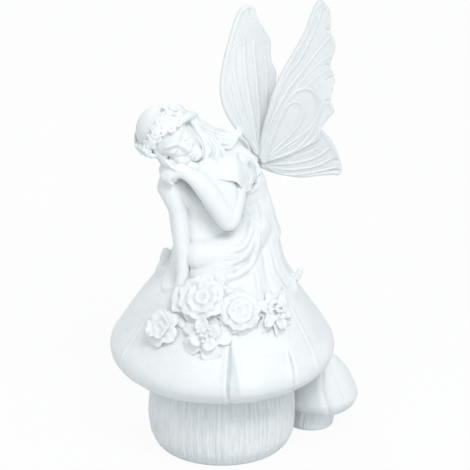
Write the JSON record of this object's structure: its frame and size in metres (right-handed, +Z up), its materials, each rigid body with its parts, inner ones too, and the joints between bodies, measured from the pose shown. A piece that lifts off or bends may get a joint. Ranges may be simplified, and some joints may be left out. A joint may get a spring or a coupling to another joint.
{
  "type": "garden figurine",
  "caption": "Winged fairy asleep over a raised knee, seated on a broad mushroom with a small mushroom beside it, cast in white resin.",
  "frame": {"origin": "middle of the large stem's flat base, on the surface it stands on", "axes": "+Z up, -Y to the front of the figurine, where the flowers are, and +X towards the small mushroom"},
  "size_m": [0.1665, 0.15, 0.3131],
  "materials": {
    "white_resin": "satin white paint over cast resin"
  },
  "bodies": {
    "root": {"fairy_figurine": "white_resin"}
  },
  "joints": []
}
